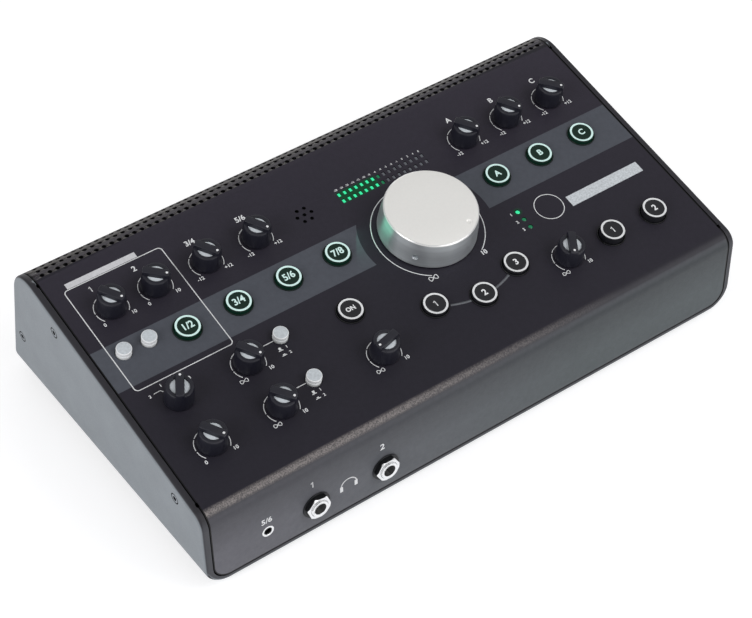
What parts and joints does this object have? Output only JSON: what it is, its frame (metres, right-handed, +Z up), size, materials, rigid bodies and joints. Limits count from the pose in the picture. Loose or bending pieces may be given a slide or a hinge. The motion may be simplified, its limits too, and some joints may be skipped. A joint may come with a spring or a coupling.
{
  "type": "studio monitor controller",
  "caption": "Desktop audio controller: sloping black panel in a grey folded case with a large silver volume knob, small knobs, lit round buttons, meter lights and front headphone sockets",
  "frame": {"origin": "on the table, under the middle of the object's bounding box", "axes": "+X to the user's right, +Y to the back, +Z up"},
  "size_m": [0.3246, 0.1893, 0.0906],
  "materials": {
    "chassis": "satin",
    "cover": "satin",
    "black_screws": "satin",
    "foot_rubber": "matte",
    "steel": "satin",
    "turned_aluminium": "satin",
    "pot_body": "matte",
    "bezel": "gloss",
    "led": "gloss",
    "mic": "satin",
    "socket": "satin",
    "nut": "polished",
    "cap": "satin",
    "push_cap": "satin",
    "knob": "satin",
    "board": "satin",
    "brass": "satin",
    "ribbon": "matte"
  },
  "bodies": {
    "case": {"bottom_chassis": "chassis", "top_cover": "cover", "side_screws": "black_screws", "rubber_feet": "foot_rubber", "foot_screws": "steel", "volume_potentiometer": "steel", "small_potentiometers": "pot_body", "button_bezels": "bezel", "button_switches": "pot_body", "indicator_leds": "led", "microphone": "mic", "headphone_jacks": "socket", "headphone_washers": "socket", "headphone_nuts": "nut", "stereo_input_jack": "nut", "combo_inputs": "socket", "line_jacks": "socket", "line_jack_nuts": "nut", "usb_socket": "steel", "power_inlet": "socket", "power_switch": "pot_body", "main_board": "board", "board_mounts": "brass", "rear_board": "board", "front_board": "board", "ribbon_cable": "ribbon"},
    "volume_knob": {"volume_knob": "turned_aluminium", "volume_shaft": "steel", "volume_set_screw": "black_screws"},
    "gain_1_knob": {"gain_1_knob": "knob"},
    "gain_2_knob": {"gain_2_knob": "knob"},
    "trim_1_knob": {"trim_1_knob": "knob"},
    "trim_2_knob": {"trim_2_knob": "knob"},
    "trim_a_knob": {"trim_a_knob": "knob"},
    "trim_b_knob": {"trim_b_knob": "knob"},
    "trim_c_knob": {"trim_c_knob": "knob"},
    "cue_source_knob": {"cue_source_knob": "knob"},
    "direct_monitor_knob": {"direct_monitor_knob": "knob"},
    "phones_1_knob": {"phones_1_knob": "knob"},
    "phones_2_knob": {"phones_2_knob": "knob"},
    "studio_level_knob": {"studio_level_knob": "knob"},
    "talkback_level_knob": {"talkback_level_knob": "knob"},
    "source_1_button": {"source_1_button": "cap"},
    "source_2_button": {"source_2_button": "cap"},
    "source_3_button": {"source_3_button": "cap"},
    "source_4_button": {"source_4_button": "cap"},
    "monitor_a_button": {"monitor_a_button": "cap"},
    "monitor_b_button": {"monitor_b_button": "cap"},
    "monitor_c_button": {"monitor_c_button": "cap"},
    "studio_on_button": {"studio_on_button": "cap"},
    "mono_button": {"mono_button": "cap"},
    "mute_button": {"mute_button": "cap"},
    "dim_button": {"dim_button": "cap"},
    "talk_to_tracks_button": {"talk_to_tracks_button": "cap"},
    "talk_to_cue_button": {"talk_to_cue_button": "cap"},
    "phantom_switch": {"phantom_switch": "push_cap"},
    "pan_switch": {"pan_switch": "push_cap"},
    "phones_1_switch": {"phones_1_switch": "push_cap"},
    "phones_2_switch": {"phones_2_switch": "push_cap"},
    "power_button": {"power_button": "cap"}
  },
  "joints": [
    {"name": "volume_turn", "type": "hinge", "parent": "case", "child": "volume_knob", "pos_m": [0.0261, -0.00849, 0.06847], "axis": [0, -0.2207, 0.9753], "range_deg": [-4.4, 295.6]},
    {"name": "gain_1_turn", "type": "hinge", "parent": "case", "child": "gain_1_knob", "pos_m": [-0.13475, 0.02852, 0.07685], "axis": [0, -0.2207, 0.9753], "range_deg": [-4, 296]},
    {"name": "gain_2_turn", "type": "hinge", "parent": "case", "child": "gain_2_knob", "pos_m": [-0.1101, 0.02852, 0.07685], "axis": [0, -0.2207, 0.9753], "range_deg": [-19, 281]},
    {"name": "trim_1_turn", "type": "hinge", "parent": "case", "child": "trim_1_knob", "pos_m": [-0.081, 0.02852, 0.07685], "axis": [0, -0.2207, 0.9753], "range_deg": [-5, 295]},
    {"name": "trim_2_turn", "type": "hinge", "parent": "case", "child": "trim_2_knob", "pos_m": [-0.0519, 0.02852, 0.07685], "axis": [0, -0.2207, 0.9753], "range_deg": [-3, 297]},
    {"name": "trim_a_turn", "type": "hinge", "parent": "case", "child": "trim_a_knob", "pos_m": [0.0777, 0.02852, 0.07685], "axis": [0, -0.2207, 0.9753], "range_deg": [-8, 292]},
    {"name": "trim_b_turn", "type": "hinge", "parent": "case", "child": "trim_b_knob", "pos_m": [0.10575, 0.02852, 0.07685], "axis": [0, -0.2207, 0.9753], "range_deg": [-6, 294]},
    {"name": "trim_c_turn", "type": "hinge", "parent": "case", "child": "trim_c_knob", "pos_m": [0.1338, 0.02852, 0.07685], "axis": [0, -0.2207, 0.9753], "range_deg": [-14, 286]},
    {"name": "cue_source_turn", "type": "hinge", "parent": "case", "child": "cue_source_knob", "pos_m": [-0.13475, -0.03058, 0.06348], "axis": [0, -0.2207, 0.9753], "range_deg": [-29, 91]},
    {"name": "direct_monitor_turn", "type": "hinge", "parent": "case", "child": "direct_monitor_knob", "pos_m": [-0.13475, -0.05848, 0.05716], "axis": [0, -0.2207, 0.9753], "range_deg": [-4, 296]},
    {"name": "phones_1_turn", "type": "hinge", "parent": "case", "child": "phones_1_knob", "pos_m": [-0.09605, -0.03058, 0.06348], "axis": [0, -0.2207, 0.9753], "range_deg": [-4, 296]},
    {"name": "phones_2_turn", "type": "hinge", "parent": "case", "child": "phones_2_knob", "pos_m": [-0.09605, -0.05848, 0.05716], "axis": [0, -0.2207, 0.9753], "range_deg": [-9, 291]},
    {"name": "studio_level_turn", "type": "hinge", "parent": "case", "child": "studio_level_knob", "pos_m": [-0.0369, -0.05848, 0.05716], "axis": [0, -0.2207, 0.9753], "range_deg": [-253, 47]},
    {"name": "talkback_level_turn", "type": "hinge", "parent": "case", "child": "talkback_level_knob", "pos_m": [0.0777, -0.05848, 0.05716], "axis": [0, -0.2207, 0.9753], "range_deg": [-299, 1]},
    {"name": "source_1_press", "type": "slide", "parent": "case", "child": "source_1_button", "axis": [0, 0.2207, -0.9753], "range_m": [0, 0.0012], "stiffness_N_per_m": 500, "springref_m": -0.0005},
    {"name": "source_2_press", "type": "slide", "parent": "case", "child": "source_2_button", "axis": [0, 0.2207, -0.9753], "range_m": [0, 0.0012], "stiffness_N_per_m": 500, "springref_m": -0.0005},
    {"name": "source_3_press", "type": "slide", "parent": "case", "child": "source_3_button", "axis": [0, 0.2207, -0.9753], "range_m": [0, 0.0012], "stiffness_N_per_m": 500, "springref_m": -0.0005},
    {"name": "source_4_press", "type": "slide", "parent": "case", "child": "source_4_button", "axis": [0, 0.2207, -0.9753], "range_m": [0, 0.0012], "stiffness_N_per_m": 500, "springref_m": -0.0005},
    {"name": "monitor_a_press", "type": "slide", "parent": "case", "child": "monitor_a_button", "axis": [0, 0.2207, -0.9753], "range_m": [0, 0.0012], "stiffness_N_per_m": 500, "springref_m": -0.0005},
    {"name": "monitor_b_press", "type": "slide", "parent": "case", "child": "monitor_b_button", "axis": [0, 0.2207, -0.9753], "range_m": [0, 0.0012], "stiffness_N_per_m": 500, "springref_m": -0.0005},
    {"name": "monitor_c_press", "type": "slide", "parent": "case", "child": "monitor_c_button", "axis": [0, 0.2207, -0.9753], "range_m": [0, 0.0012], "stiffness_N_per_m": 500, "springref_m": -0.0005},
    {"name": "studio_on_press", "type": "slide", "parent": "case", "child": "studio_on_button", "axis": [0, 0.2207, -0.9753], "range_m": [0, 0.0012], "stiffness_N_per_m": 500, "springref_m": -0.0005},
    {"name": "mono_press", "type": "slide", "parent": "case", "child": "mono_button", "axis": [0, 0.2207, -0.9753], "range_m": [0, 0.0012], "stiffness_N_per_m": 500, "springref_m": -0.0005},
    {"name": "mute_press", "type": "slide", "parent": "case", "child": "mute_button", "axis": [0, 0.2207, -0.9753], "range_m": [0, 0.0012], "stiffness_N_per_m": 500, "springref_m": -0.0005},
    {"name": "dim_press", "type": "slide", "parent": "case", "child": "dim_button", "axis": [0, 0.2207, -0.9753], "range_m": [0, 0.0012], "stiffness_N_per_m": 500, "springref_m": -0.0005},
    {"name": "talk_to_tracks_press", "type": "slide", "parent": "case", "child": "talk_to_tracks_button", "axis": [0, 0.2207, -0.9753], "range_m": [0, 0.0012], "stiffness_N_per_m": 500, "springref_m": -0.0005},
    {"name": "talk_to_cue_press", "type": "slide", "parent": "case", "child": "talk_to_cue_button", "axis": [0, 0.2207, -0.9753], "range_m": [0, 0.0012], "stiffness_N_per_m": 500, "springref_m": -0.0005},
    {"name": "phantom_press", "type": "slide", "parent": "case", "child": "phantom_switch", "axis": [0, 0.2207, -0.9753], "range_m": [0, 0.002], "stiffness_N_per_m": 400, "springref_m": -0.0005},
    {"name": "pan_press", "type": "slide", "parent": "case", "child": "pan_switch", "axis": [0, 0.2207, -0.9753], "range_m": [0, 0.002], "stiffness_N_per_m": 400, "springref_m": -0.0005},
    {"name": "phones_1_press", "type": "slide", "parent": "case", "child": "phones_1_switch", "axis": [0, 0.2207, -0.9753], "range_m": [0, 0.002], "stiffness_N_per_m": 400, "springref_m": -0.0005},
    {"name": "phones_2_press", "type": "slide", "parent": "case", "child": "phones_2_switch", "axis": [0, 0.2207, -0.9753], "range_m": [0, 0.002], "stiffness_N_per_m": 400, "springref_m": -0.0005},
    {"name": "power_press", "type": "slide", "parent": "case", "child": "power_button", "axis": [0, -0.9708, -0.24], "range_m": [0, 0.002], "stiffness_N_per_m": 500, "springref_m": -0.0005}
  ]
}
